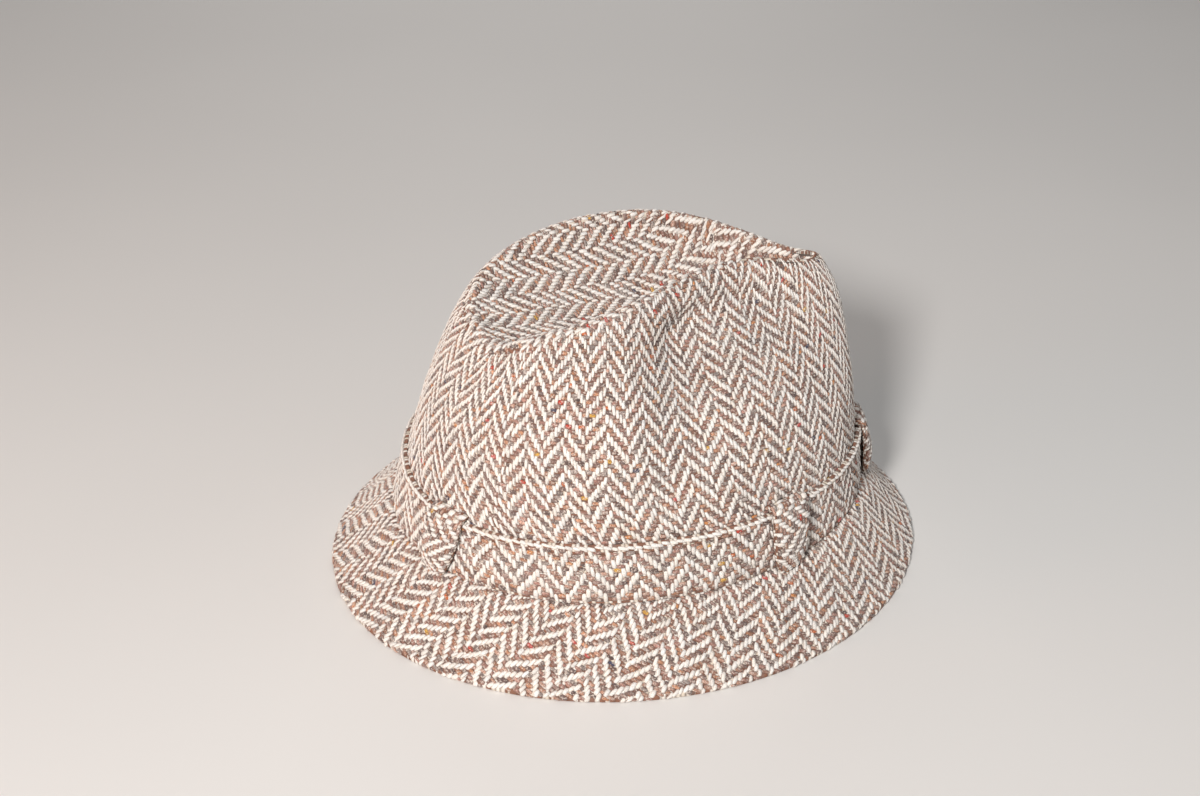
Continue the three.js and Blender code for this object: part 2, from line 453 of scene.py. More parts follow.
def column_side(end):
    """One in the columns whose twill rises with the ends, and minus one in the others."""
    return np.where(end % REPEAT_ENDS < COLUMN_ENDS, 1, -1)


def find_floats(ends, picks):
    """Middles and half lengths, in yarns, of the cream and the brown floats of a piece of cloth."""
    end, pick = np.meshgrid(np.arange(*ends), np.arange(*picks), indexing="ij")
    starts = cream_on_top(end, pick) & ~cream_on_top(end, pick - 1)
    cream = np.stack([end[starts] + 0.5, pick[starts] + FLOAT_PICKS / 2], -1)
    starts = ~cream_on_top(end, pick) & cream_on_top(end - 1, pick)
    end, pick = end[starts], pick[starts]
    length = np.ones(len(end))
    longer = np.ones(len(end), bool)
    for more in (1, 2):
        longer &= ~cream_on_top(end + more, pick)
        length += longer
    brown = np.stack([end + length / 2, pick + 0.5], -1)
    return cream, brown, length / 2


print("floats in one repeat:", [len(part) for part in find_floats((0, REPEAT_ENDS), (0, REPEAT_PICKS))])

# %% One lozenge of yarn
def lozenge(rings):
    """Points and faces of a six-sided lozenge along Y, from -1 to 1 each way and blunt at its ends."""
    bm = bmesh.new()
    bmesh.ops.create_uvsphere(bm, u_segments=6, v_segments=rings, radius=1)
    bm.verts.index_update()
    turn = ((1, 0, 0), (0, 0, 1), (0, -1, 0))
    points = np.array([vert.co[:] for vert in bm.verts]) @ np.array(turn)
    points[:, [0, 2]] *= np.sqrt(1 + points[:, [1]] ** 2)
    # the operator's order can change from run to run, so points and faces get one of their own
    order = np.lexsort(points.round(4).T)
    rank = np.argsort(order).tolist()
    faces = []
    for face in bm.faces:
        corners = [rank[vert.index] for vert in face.verts]
        first = corners.index(min(corners))
        faces.append(corners[first:] + corners[:first])
    bm.free()
    return points[order], sorted(faces)


CREAM_LOZENGE = lozenge(4)
BROWN_LOZENGE = lozenge(3)
print("faces of a cream and a brown float:", len(CREAM_LOZENGE[1]), len(BROWN_LOZENGE[1]))

# %% [markdown]
# ## Laying the floats
# A piece of cloth gives a surface: a function from ends and picks to a point. Each point of a float
# asks that surface where it lies, so a float bends with the cloth, and then rises from it along the
# normal. A float dips at its two ends, where it dives under its neighbours. Each float also carries
# its dye as a colour attribute, which its finish reads.

# %% Lay floats on a surface
NORMAL_STEP = 0.4


def surface_normals(surface, end, pick):
    by_end = surface(end + NORMAL_STEP, pick) - surface(end - NORMAL_STEP, pick)
    by_pick = surface(end, pick + NORMAL_STEP) - surface(end, pick - NORMAL_STEP)
    normal = np.cross(by_end, by_pick)
    return normal / np.linalg.norm(normal, axis=-1, keepdims=True)


def lay_floats(surface, shape, middle, half, lift, along_picks, lean=0.0):
    """Points of all floats: half has the half width and half length in yarns and the half height in
    millimetres, and lift the height of the middle and how far the ends dip from there."""
    across, along, up = shape[0].T
    half_wide, half_long, half_high = (np.broadcast_to(part, len(middle))[:, None] for part in half)
    sideways = across * half_wide + np.broadcast_to(lean, len(middle))[:, None] * along * half_long
    lengthways = along * half_long
    moves = (sideways, lengthways) if along_picks else (lengthways, sideways)
    end, pick = (middle[:, [axis]] + moves[axis] for axis in (0, 1))
    normal = surface_normals(surface, middle[:, 0], middle[:, 1])
    height = lift[0] + up * half_high - lift[1] * along**2
    return surface(end, pick) + normal[:, None, :] * height[..., None]


def yarn_mesh(name, points, shape, dyes):
    """One mesh of all floats that lie wholly on the cloth, each with its dye, and their UV maps."""
    whole = np.isfinite(points).all(axis=(1, 2))
    points, dyes = points[whole], dyes[whole]
    many, each = points.shape[:2]
    faces = shape[1]
    sizes = np.array([len(face) for face in faces])
    corners = np.concatenate(faces)
    firsts = np.concatenate([[0], np.cumsum(sizes)[:-1]])
    shifts = np.arange(many)[:, None]
    mesh = bpy.data.meshes.new(name)
    mesh.vertices.add(many * each)
    mesh.vertices.foreach_set("co", (points * MM).astype(np.float32).ravel())
    mesh.loops.add(many * len(corners))
    mesh.loops.foreach_set("vertex_index", (corners + shifts * each).astype(np.int32).ravel())
    mesh.polygons.add(many * len(faces))
    starts = firsts + shifts * len(corners)
    mesh.polygons.foreach_set("loop_start", starts.astype(np.int32).ravel())
    mesh.update(calc_edges=True)
    dye = mesh.color_attributes.new("dye", "FLOAT_COLOR", "POINT")
    filled = np.ones((many, each, 4), np.float32)
    filled[:, :, :3] = dyes[:, None, :3]
    dye.data.foreach_set("color", filled.ravel())
    add_yarn_maps(mesh, many, shape, corners, sizes)
    mesh.validate()
    return mesh


TOP_FACES_OVER, BAKE_FILL = -0.05, 0.9


def add_yarn_maps(mesh, many, shape, corners, sizes):
    """Two UV maps: along the yarn, and for baking, where each float has a cell for top and bottom."""
    flat = shape[0][corners]
    yarn = np.tile(flat[:, :2], (many, 1))
    mesh.uv_layers.new(name="yarn").uv.foreach_set("vector", yarn.astype(np.float32).ravel())
    tops = np.repeat([shape[0][face, 2].mean() > TOP_FACES_OVER for face in shape[1]], sizes)
    spot = np.stack([(flat[:, 0] + 1) / 4 + 0.5 * ~tops, (flat[:, 1] + 1) / 2], -1)
    spot = spot * BAKE_FILL + (1 - BAKE_FILL) / 2
    across = math.ceil(math.sqrt(many))
    cell = np.arange(many)
    place = np.stack([cell % across, cell // across], -1)[:, None, :]
    packed = ((place + spot) / across).reshape(-1, 2)
    mesh.uv_layers.new(name="OFBake").uv.foreach_set("vector", packed.astype(np.float32).ravel())


# %% [markdown]
# ## Dyes
# The cream wool is nearly even. The brown yarn is spun from mixed wool, so each float takes one of a
# few browns, and about one in forty is a bright fleck. The finish of both adds what is finer than a
# float: other wool spun in, twisted fibres, and painted shade with some brown fuzz on the flanks and
# ends, where the yarn turns under.

# %% Mix the dyes
rng = np.random.default_rng(20)
BROWNS = np.array([linear(*rgb) for rgb in (
    (178, 136, 116), (154, 130, 122), (134, 110, 102), (194, 154, 136), (174, 132, 120),
    (158, 146, 140), (194, 142, 112), (166, 128, 116), (116, 100, 96),
)])
FLECKS = np.array([linear(*rgb) for rgb in (
    (214, 118, 70), (200, 74, 58), (222, 172, 84), (204, 96, 90), (78, 80, 100), (216, 146, 92),
)])
FLECK_SHARE = 0.025
# mean, spread and limits of how bright a float is, and how far its tint strays
CREAM_BRIGHT, CREAM_SPREAD, CREAM_LIMITS, CREAM_TINT = 0.97, 0.06, (0.78, 1.06), 0.012
BROWN_SPREAD, BROWN_LIMITS = 0.16, (0.6, 1.5)


def cream_dyes(many):
    bright = rng.normal(CREAM_BRIGHT, CREAM_SPREAD, (many, 1)).clip(*CREAM_LIMITS)
    warm = rng.normal(0, CREAM_TINT, (many, 1)) * np.array([[1, 0, -1]])
    return np.array(CREAM[:3]) * bright + warm


def brown_dyes(many):
    dyes = BROWNS[rng.integers(len(BROWNS), size=many), :3]
    dyes = dyes * rng.normal(1, BROWN_SPREAD, (many, 1)).clip(*BROWN_LIMITS)
    flecked = rng.random(many) < FLECK_SHARE
    dyes[flecked] = FLECKS[rng.integers(len(FLECKS), size=flecked.sum()), :3]
    return dyes


# %% Finish of the yarns
TWIST_ACROSS, TWIST_ALONG, TWIST_HEIGHT = 5, 9, 0.12
FIBRE_SCALE, TUFT_SCALE = 2600.0, 1200.0


def yarn_finish(name, dark, pale, mottle, edge, end_shade):
    """Wool: the float's own dye, mottled by a share of dark and pale wool, with painted shade mixed
    with brown fuzz at its flanks by edge, at its ends by end_shade of that, and fine twisted fibres as
    a bump."""
    finish, start, shader = new_finish(name)
    dye = start.node("Attribute", {"attribute_name": "dye"}, out="Color")
    along = start.node("UVMap", {"uv_map": "yarn"})
    place = start.node("TexCoord", out="Object")
    across = start.node("SeparateXYZ", None, {0: along}, out="X")
    length = start.node("SeparateXYZ", None, {0: along}, out="Y")
    twist = (across * TWIST_ACROSS + length * TWIST_ALONG).sine()
    fibre, tuft = (
        start.node("TexNoise", None, {"Vector": place, "Scale": scale, "Detail": detail}, out="Fac")
        for scale, detail in ((FIBRE_SCALE, 3.0), (TUFT_SCALE, 2.0))
    )
    # painted shade with some brown fuzz: the float darkens towards its flanks and ends, where the yarn
    # turns under
    outward = across * across + length * length * end_shade
    darker = start.node("MapRange", None, {0: fibre, 1: 0.52, 2: 0.36, 4: mottle})
    paler = start.node("MapRange", None, {0: tuft, 1: 0.5, 2: 0.64, 4: mottle})
    flank_shade = start.node("MapRange", None, {0: outward, 1: 0.3, 2: 0.95, 4: edge})
    colour = flank_shade.mix(darker.mix(paler.mix(dye, pale), dark), dark)
    relief = twist * TWIST_HEIGHT + fibre
    bump = start.node("Bump", None, {"Height": relief, "Distance": 0.0002, "Strength": 0.6})
    feed(shader, Base_Color=colour, Normal=bump, Roughness=0.95, Specular_IOR_Level=0.15)
    feed(shader, Sheen_Weight=0.25, Sheen_Roughness=0.5)
    return finish


# the dark wool colour also gives the painted shade; the last two numbers set that shade at flanks and
# ends
cream_yarn = yarn_finish("cream_yarn", linear(150, 126, 112), linear(252, 249, 244), 0.35, 0.85, 0.3)
brown_yarn = yarn_finish("brown_yarn", linear(92, 70, 62), linear(232, 216, 204), 0.8, 0.5, 0.0)
print("browns:", len(BROWNS), "flecks:", len(FLECKS))

# %% [markdown]
# ## Weaving a piece
# Hand-woven tweed is never quite even: its yarns wander a little, and each float has its own place,
# size and lean. The wander is a sum of slow waves, shared by all floats of a piece. The cream floats
# also lean the way the twill of their column climbs.

# %% Weave a piece of cloth
# half width and half length in yarns, half height in millimetres; a brown float's second number is what
# it reaches past its own run of ends
CREAM_SIZE = (0.63, 1.12, 0.5)
BROWN_SIZE = (0.52, 0.25, 0.4)
CREAM_LIFT = (0.25, 0.4)
BROWN_LIFT = (0.1, 0.25)
CREAM_LEAN = 0.12
PLACE_JITTER, SIZE_JITTER, LEAN_JITTER = 0.08, 0.12, 0.09
SIZE_LIMITS = (0.75, 1.25)
WANDER = 0.22
WAVES, WAVE_RANGE = 4, (0.12, 0.35)


def wander():
    """A move of places, in yarns, by a few slow waves."""
    waves = rng.uniform(*WAVE_RANGE, (WAVES, 2)) * rng.choice([-1, 1], (WAVES, 2))
    phases = rng.uniform(0, 2 * math.pi, (2, WAVES))
    return lambda at: at + WANDER * np.sin((at @ waves.T)[:, None, :] + phases).sum(-1) / 2


def uneven(size, many):
    return size * rng.normal(1, SIZE_JITTER, many).clip(*SIZE_LIMITS)


YARNS = {
    "cream": (CREAM_LOZENGE, cream_dyes, cream_yarn),
    "brown": (BROWN_LOZENGE, brown_dyes, brown_yarn),
}


def yarn_piece(name, kind, surface, middle, size, lift, along_picks, lean=0.0):
    shape, dyes, finish = YARNS[kind]
    if not along_picks:
        # laid across, a float is mirrored, so its faces are turned round to point outwards
        shape = shape[0], [face[::-1] for face in shape[1]]
    points = lay_floats(surface, shape, middle, size, lift, along_picks, lean)
    mesh = yarn_mesh(name, points, shape, dyes(len(middle)))
    finish_piece(name, mesh, [finish])


def weave(name, surface, ends, picks, inside, slot):
    """Lays the cream and brown floats whose middles are inside, as two pieces."""
    cream, brown, half_run = find_floats(ends, picks)
    cream = cream[inside(*cream.T)]
    keep = inside(*brown.T)
    brown, half_run = brown[keep], half_run[keep]
    move = wander()
    lean = CREAM_LEAN * column_side(np.floor(cream[:, 0])) + rng.normal(0, LEAN_JITTER, len(cream))
    cream = move(cream) + rng.normal(0, PLACE_JITTER, cream.shape)
    size = [uneven(part, len(cream)) for part in CREAM_SIZE]
    yarn_piece(name + "_cream_yarn", "cream", surface, cream, size, CREAM_LIFT, True, lean)
    brown = move(brown) + rng.normal(0, PLACE_JITTER, brown.shape)
    size = (uneven(BROWN_SIZE[0], len(brown)), half_run + BROWN_SIZE[1], BROWN_SIZE[2])
    yarn_piece(name + "_brown_yarn", "brown", surface, brown, size, BROWN_LIFT, False)


# %% [markdown]
# ## The crown's side
# The side is one strip of cloth round the head, sewn to a tube at the right back, where the weave does
# not meet itself. The strip is cut on a curve and pulled into shape, so its columns bow and lean. An
# end is therefore counted along the girth at one height, and moves aside above and below it, and a pick
# is counted along the cloth up from the brim, with a table of lengths. The strip gets its thickness
# from a Solidify modifier, whose inner face takes the plain finish.

# %% Side cloth
SIDE_END_PITCH = 1.4465
SIDE_PICK_PITCH = 1.78
SIDE_START = 119.8
SIDE_SEAM = 50.5
SIDE_ENDS, SIDE_PICKS = (-72, 352), (0, 90)
SIDE_COLUMNS, SIDE_ROWS = 280, 56
# shares of the side's height between which raised yarns lie: below them is the band
SIDE_BARE_BELOW, SIDE_BARE_ABOVE = 0.2, 0.992
GIRTH_STEPS = 1440
GIRTH_RISE = 0.4
GIRTH_START = math.radians(-175)
COLUMN_RISE = 0.6
COLUMN_LEAN, COLUMN_BOW = -8.4, 52
COLUMN_FAN, COLUMN_FAN_MIDDLE = 9.4, math.radians(-94)
CLOTH_THICK = 2.2
GUESSES = 3


def lengths_along(points, scale=1):
    """Length along a row of points, with each of their numbers scaled to millimetres."""
    steps = np.linalg.norm(np.diff(points, axis=0) * scale, axis=1)
    return np.concatenate([[0], np.cumsum(steps)])


girth_angles = GIRTH_START + np.linspace(0, 2 * math.pi, GIRTH_STEPS + 1)
girth_arc = lengths_along(crown_point(girth_angles, GIRTH_RISE))
GIRTH = girth_arc[-1]


def girth_angle(arc):
    """The plan angle at a length along the girth."""
    turns = np.floor(arc / GIRTH)
    return np.interp(arc - turns * GIRTH, girth_arc, girth_angles) + 2 * math.pi * turns


def side_arc(end, share):
    """Length along the girth of a place on an end, at a share of the side's height."""
    level = SIDE_START + end * SIDE_END_PITCH
    up = share - COLUMN_RISE
    lean = COLUMN_LEAN + COLUMN_FAN * np.sin(girth_angle(level) - COLUMN_FAN_MIDDLE)
    return level + lean * up + COLUMN_BOW * up**2


def side_end(arc, share):
    """The end at a length along the girth, found by correcting a guess."""
    end = (arc - SIDE_START) / SIDE_END_PITCH
    for _ in range(GUESSES):
        end = end + (arc - side_arc(end, share)) / SIDE_END_PITCH
    return end


def between(table, row, column):
    """Values of a table at places between its rows and columns."""
    low_row = np.clip(row.astype(int), 0, table.shape[0] - 2)
    low_column = np.clip(column.astype(int), 0, table.shape[1] - 2)
    u, v = row - low_row, column - low_column
    if table.ndim > 2:
        u, v = u[..., None], v[..., None]
    near = table[low_row, low_column] * (1 - v) + table[low_row, low_column + 1] * v
    far = table[low_row + 1, low_column] * (1 - v) + table[low_row + 1, low_column + 1] * v
    return near * (1 - u) + far * u


# %% Lengths up the side
# length up the cloth by degrees of the plan angle and shares of its height, and the other way round
SHARE_STEPS, LONGEST_RUN = 100, 150
shares = np.linspace(0, 1, SHARE_STEPS + 1)
skin = side_point(np.radians(np.arange(361))[:, None], shares[None, :])
side_run = np.cumsum(np.linalg.norm(np.diff(skin, axis=1, prepend=skin[:, :1]), axis=2), axis=1)
run_share = np.array([np.interp(np.arange(LONGEST_RUN + 1), run, shares) for run in side_run])


def side_place(end, pick):
    """Plan angle and share of height of a place on the cloth, found by correcting a guess."""
    length = np.clip(pick * SIDE_PICK_PITCH, 0, LONGEST_RUN - 1)
    share = np.clip(length / side_run[:, -1].mean(), 0, 1)
    for _ in range(GUESSES):
        degrees = np.degrees(girth_angle(side_arc(end, share))) % 360
        share = between(run_share, degrees, length)
    return girth_angle(side_arc(end, share)), share


def side_surface(end, pick):
    return side_point(*side_place(end, pick))


def side_ground(across, along):
    return side_point(girth_angle(across * GIRTH + SIDE_SEAM), along)


def side_yarns(across, along):
    arc = across * GIRTH + SIDE_SEAM
    run = between(side_run, np.degrees(girth_angle(arc)) % 360, along * SHARE_STEPS)
    return side_end(arc, along), run / SIDE_PICK_PITCH


def on_side(end, pick):
    share = side_place(end, pick)[1]
    arc = side_arc(end, share) - SIDE_SEAM
    return (arc > 0) & (arc < GIRTH) & (share > SIDE_BARE_BELOW) & (share < SIDE_BARE_ABOVE)


def thicken(piece, thick):
    wall = piece.modifiers.new("cloth", "SOLIDIFY")
    wall.thickness, wall.offset, wall.material_offset = thick * MM, -1, 1


# %% Sew and weave the side
strip = cut_cloth(SIDE_COLUMNS, SIDE_ROWS)
bend_cloth(strip, side_ground, side_yarns)
sew(strip)
nodes = ["crown_side", "crown_base"]
thicken(cloth_piece("crown_side_cloth", strip, [ground, inner], nodes), CLOTH_THICK)
print("girth:", round(GIRTH), "mm, ends round the side:", round(GIRTH / SIDE_END_PITCH))

weave("crown_side", side_surface, SIDE_ENDS, SIDE_PICKS, on_side, "side_cloth")

# %% [markdown]
# ## The tip
# The tip is a second piece of cloth, laid with its yarns nearly along the hat. Its grid runs from the
# rim's seam inward to the valley, where its two sides meet and are sewn. Seen from above its yarns
# would crowd on the slopes, so they are counted along the cloth: rays find the height of the cloth on
# lines across it, and a table then turns a length along such a line into a place. The rays meet a
# second grid that reaches further over the rim, so that the yarns go on evenly to the seam.

# %% Tip cloth
TIP_GRAIN = math.radians(7)
END_PITCH, PICK_PITCH = 1.5, 1.58
TIP_THICK = 2.0
TIP_COLUMNS, TIP_ROWS = 200, 36
TIP_ROLL_SHARE = 0.25
TIP_SEAM_TUCK = 0.08
TIP_OVERLAP = 0.3


def turn_grain(x, y, slant):
    """Lengths across and along a slanted grain, from lengths on the hat. The same sums lead back."""
    return x * math.sin(slant) + y * math.cos(slant), x * math.cos(slant) - y * math.sin(slant)


def tip_yarns(x, y):
    """Ends and picks at a place in plan."""
    cross, forth = turn_grain(x, -y, TIP_GRAIN)
    return cross / END_PITCH, forth / PICK_PITCH


def tip_from(start):
    """Places on the tip's cloth, which starts on the rim's roll."""
    def place(across, along):
        angle = across * 2 * math.pi
        t = start + (1 - start) * np.minimum(along / TIP_ROLL_SHARE, 1)
        onward = np.maximum(along - TIP_ROLL_SHARE, 0) / (1 - TIP_ROLL_SHARE)
        reach = roll_end(angle)
        inner = tip_point(angle, reach + (1 - reach) * onward)
        return np.where(onward[:, None] > 0, inner, roll_point(angle, t))
    return place


def tip_grid(start):
    bm = cut_cloth(TIP_COLUMNS, TIP_ROWS)
    place = tip_from(start)
    bend_cloth(bm, place, lambda u, v: tip_yarns(*place(u, v)[:, :2].T))
    sew(bm)
    if sum(face.normal.z for face in bm.faces) < 0:
        bmesh.ops.reverse_faces(bm, faces=bm.faces)
    return bm


tip = tip_grid(SEAM - TIP_SEAM_TUCK)
tip_tree = BVHTree.FromBMesh(tip)
wider = tip_grid(SEAM - TIP_OVERLAP)
wider_tree = BVHTree.FromBMesh(wider)
wider.free()
thicken(cloth_piece("crown_tip_cloth", tip, [ground, inner], ["crown_tip"]), TIP_THICK)


# %% Lengths along the tip
TABLE_STEP = 1.0
TIP_REACH = 100
TIP_END_PITCH = 1.58
TIP_LEVEL = -24
RAY_TOP = 0.2
TIP_ENDS, TIP_PICKS = (-60, 60), (-60, 64)
# ends and picks from a float's middle to its ends and sides, all of which have to lie on the cloth
FLOAT_REACH = ((0, 2.2), (0, -2.2), (1, 0), (-1, 0))


def cloth_height(tree, x, y):
    hit = tree.ray_cast(Vector((x * MM, y * MM, RAY_TOP)), Vector((0, 0, -1)))[0]
    return hit.z / MM if hit else math.nan


def tip_plan(cross, forth):
    """A place in plan, from millimetres across the grain and along it."""
    x, to_right = turn_grain(cross, forth, TIP_GRAIN)
    return x, -to_right


grid = np.arange(-TIP_REACH, TIP_REACH + TABLE_STEP, TABLE_STEP)
tip_table = np.full((len(grid), len(grid), 2), np.nan)
for row, forth in enumerate(grid):
    heights = np.array([cloth_height(wider_tree, *spot) for spot in zip(*tip_plan(grid, forth))])
    found = np.isfinite(heights)
    if found.sum() > 2:
        cross, heights = grid[found], heights[found]
        along = np.concatenate([[0], np.cumsum(np.hypot(np.diff(cross), np.diff(heights)))])
        level = np.clip(TIP_LEVEL, cross[0], cross[-1])
        along += level - np.interp(level, cross, along)
        for layer, values in enumerate((cross, heights)):
            tip_table[row, :, layer] = np.interp(grid, along, values, left=math.nan, right=math.nan)


def tip_surface(end, pick):
    along, forth = end * TIP_END_PITCH, pick * PICK_PITCH
    row, column = (np.clip(part, -TIP_REACH, TIP_REACH) + TIP_REACH for part in (forth, along))
    table_place = row / TABLE_STEP, column / TABLE_STEP
    cross, height = np.moveaxis(between(tip_table, *table_place), -1, 0)
    return np.stack([*tip_plan(cross, forth), height], -1)


def on_tip(end, pick):
    whole = np.ones(len(end), bool)
    for aside, along in FLOAT_REACH:
        whole &= np.isfinite(tip_surface(end + aside, pick + along)[..., 2])
    x, y = tip_surface(end, pick)[..., :2].T
    inside = [math.isfinite(cloth_height(tip_tree, *spot)) for spot in zip(x, y)]
    return whole & np.array(inside)


# %% Weave the tip
print("lines across the tip:", int(np.isfinite(tip_table[..., 0]).any(axis=1).sum()))
weave("crown_tip", tip_surface, TIP_ENDS, TIP_PICKS, on_tip, "tip_cloth")

# %% [markdown]
# ## Sections as closed loops
# Band and brim are rings whose section is a closed loop: out along one skin and back along the other.
# A few corner points give the loop, and cutting its corners a few times rounds it, as folded cloth is
# round at its folds. The grid then goes once round the hat and once round the loop, and is sewn both
# ways.

# %% Round a loop of points
RING_COLUMNS = 280
ROUNDINGS = 2


def rounded(points):
    """A closed loop with its corners cut; each point becomes four."""
    points = np.asarray(points, float)
    for _ in range(ROUNDINGS):
        following = np.roll(points, -1, axis=0)
        pairs = np.stack([0.75 * points + 0.25 * following, 0.25 * points + 0.75 * following], 1)
        points = pairs.reshape(-1, points.shape[1])
    return points


def ring_cloth(loop, place, yarn_count):
    """A ring of cloth: place gives a point for a turn round the hat and a spot of the section."""
    closed = np.vstack([loop, loop[:1]])
    bm = cut_cloth(RING_COLUMNS, len(loop))
    at = np.linspace(0, 1, len(closed))

    def spot(along):
        return [np.interp(along, at, closed[:, axis]) for axis in (0, 1)]

    bend_cloth(bm, lambda u, v: place(u, *spot(v)), lambda u, v: yarn_count(u, *spot(v)))
    sew(bm)
    return bm


# %% [markdown]
# ## The band
# The band is a strip of the same cloth, folded over at its upper edge, which shows as a thin pale
# rope. Its section is written in shares of its height and millimetres out from the crown. Raised yarns
# cover its outer skin, and the rope is a row of cream floats that lie along the fold.

# %% Band cloth
BAND_REPEATS = 30
BAND_PICKS = 16
BAND_START, BAND_LEAN = 119.6, -5.8
BAND_GAP, BAND_SKIN, BAND_FOLD = 0.3, 2.1, 0.7
BAND_MIDDLE = 25.5
BAND_FOOT = 0.012
BAND_ENDS = BAND_REPEATS * REPEAT_ENDS
BAND_BARE_BELOW, BAND_BARE_ABOVE = 0.2, 12
band_outer = [(share, BAND_SKIN) for share in (BAND_FOOT, 0.04, 0.07, 0.3, 0.6, 0.88)]
band_fold = [(share, BAND_SKIN + BAND_FOLD) for share in (0.92, 0.98)]
band_fold += [(1.02, BAND_SKIN), (1.02, BAND_GAP)]
band_inner = [(share, BAND_GAP) for share in (0.9, 0.5, BAND_FOOT)]
band_loop = rounded(band_outer + band_fold + band_inner)


def band_point(across, share, out):
    angle = girth_angle(across * GIRTH + BAND_START + BAND_LEAN * (share - 0.5))
    return crown_offset(angle, share * BAND_RISE, out)


band = ring_cloth(
    band_loop, band_point, lambda u, share, out: (u * BAND_ENDS, share * BAND_PICKS),
)
cloth_piece("band_cloth", band, [ground], ["band"])

# %% Yarns on the band
# the outer skin and the fold, without the points that rounding puts between the last and the first
band_face = rounded(band_outer + band_fold)[2:-4]
band_face_length = lengths_along(band_face, (BAND_MIDDLE, 1))


def band_surface(end, pick):
    up = pick / BAND_PICKS * band_face_length[-1]
    share, out = (np.interp(up, band_face_length, band_face[:, axis]) for axis in (0, 1))
    share = share + np.minimum(up, 0) / BAND_MIDDLE
    return band_point(end / BAND_ENDS, share, out)


def on_band(end, pick):
    return (pick > BAND_BARE_BELOW) & (pick < BAND_BARE_ABOVE)


weave("band", band_surface, (0, BAND_ENDS), (-2, BAND_PICKS + 2), on_band, "band_cloth")

# %% Rope of the fold
FOLD_SPACING = 1.9
FOLD_SIZE = (0.42, 1.15, 0.5)
FOLD_LIFT = (0.3, 0.35)
FOLD_LEAN = -0.14
FOLD_PICK = 12.5

fold_ends = np.arange(0, BAND_ENDS, FOLD_SPACING)
fold = np.stack([fold_ends, np.full(len(fold_ends), FOLD_PICK)], -1)
fold += rng.normal(0, PLACE_JITTER, fold.shape)
size = [uneven(part, len(fold)) for part in FOLD_SIZE]
yarn_piece(
    "band_fold_yarn", "cream", band_surface, fold, size, FOLD_LIFT, False, FOLD_LEAN,
)

# %% [markdown]
# ## The brim
# The brim is cloth on the bias: its yarns cross the slope aslant, at the same slant all the way round.
# So its ends and picks are counted on a strip that is as long as the brim's middle ring and as wide as
# its slope, with the grain turned. The slant is chosen so that a whole number of repeats goes round.

# %% Brim cloth
BRIM_LONG, BRIM_HALF = 132, 115.8
# share of the way out from the crown's inner face to the edge, and height
BRIM_UNDER = [(0.0, 25), (0.16, 25), (0.26, 21.6), (0.5, 12.6), (0.75, 4.6), (0.89, 0.2), (0.97, 0.2)]
BRIM_EDGE = [(0.997, 0.2), (1.0, 1.2), (0.997, 2.4)]
BRIM_TOP = [(0.95, 3.0), (0.89, 4.3), (0.75, 8.2), (0.5, 16.2), (0.26, 25.2), (0.16, 27.6), (0.0, 27.8)]
BRIM_SLOPE = 30
BRIM_GROUND_SLOPE = 40.5
RING_STEPS, RING_OUT = 720, 0.6
brim_loop = rounded(BRIM_UNDER + BRIM_EDGE + BRIM_TOP)


def brim_point(across, out, height):
    angle = girth_angle(across * GIRTH)
    inner = crown_offset(angle, 0.0, -CLOTH_THICK)
    edge = np.stack([BRIM_LONG * np.cos(angle), BRIM_HALF * np.sin(angle), 0 * angle], -1)
    point = inner + (edge - inner) * np.asarray(out)[..., None]
    point[..., 2] = height
    return point


# %% Slant of the brim's grain
ring = brim_point(np.linspace(0, 1, RING_STEPS + 1), np.full(RING_STEPS + 1, RING_OUT), 0.0)
RING = np.linalg.norm(np.diff(ring, axis=0), axis=1).sum()
BRIM_ROUND_ENDS = 32 * REPEAT_ENDS
BRIM_ROUND_PICKS = 54 * REPEAT_PICKS
BRIM_END_PITCH, BRIM_PICK_PITCH = 1.55, 1.6
BRIM_SLANT = math.atan2(BRIM_ROUND_ENDS * BRIM_END_PITCH, BRIM_ROUND_PICKS * BRIM_PICK_PITCH)
BRIM_END = RING * math.sin(BRIM_SLANT) / BRIM_ROUND_ENDS
BRIM_PICK = RING * math.cos(BRIM_SLANT) / BRIM_ROUND_PICKS
# with the yarns that start before the ring or end after it, and reach it on the slant
BRIM_ENDS, BRIM_PICKS = (-10, BRIM_ROUND_ENDS + 40), (-60, BRIM_ROUND_PICKS + 10)
BRIM_BARE_TOP, BRIM_BARE_EDGE = 4.4, 0.5
brim_face = rounded(BRIM_EDGE + BRIM_TOP)[:-4][::-1]
brim_face_length = lengths_along(brim_face, (BRIM_SLOPE, 1))
print("brim ring:", round(RING), "mm, slant:", round(math.degrees(BRIM_SLANT), 1), "degrees")
print("pitch of its ends and picks:", round(BRIM_END, 2), round(BRIM_PICK, 2))


def brim_yarns(round_mm, slope_mm):
    cross, forth = turn_grain(round_mm, slope_mm, BRIM_SLANT)
    return cross / BRIM_END, forth / BRIM_PICK


def brim_place(end, pick):
    """Millimetres round the ring and down the slope, for ends and picks."""
    return turn_grain(end * BRIM_END, pick * BRIM_PICK, BRIM_SLANT)


def brim_surface(end, pick):
    round_mm, slope_mm = brim_place(end, pick)
    out, height = (np.interp(slope_mm, brim_face_length, brim_face[:, axis]) for axis in (0, 1))
    return brim_point(round_mm / RING, out, height)


def on_brim(end, pick):
    round_mm, slope_mm = brim_place(end, pick)
    on_ring = (round_mm >= 0) & (round_mm < RING)
    return on_ring & (slope_mm > BRIM_BARE_TOP) & (slope_mm < brim_face_length[-1] - BRIM_BARE_EDGE)


# %% Sew and weave the brim
brim = ring_cloth(
    brim_loop, brim_point, lambda u, out, height: brim_yarns(u * RING, out * BRIM_GROUND_SLOPE),
)
cloth_piece("brim_cloth", brim, [ground], ["brim"])
weave("brim", brim_surface, BRIM_ENDS, BRIM_PICKS, on_brim, "brim_cloth")

# %% [markdown]
# ## Loops
# Five loops of the same cloth hold the band, with the grain turned a quarter so that the cream yarns
# lie level. Each is a flat tube of cloth with rounded edges that bulges over the band and tucks in
# behind its upper edge.

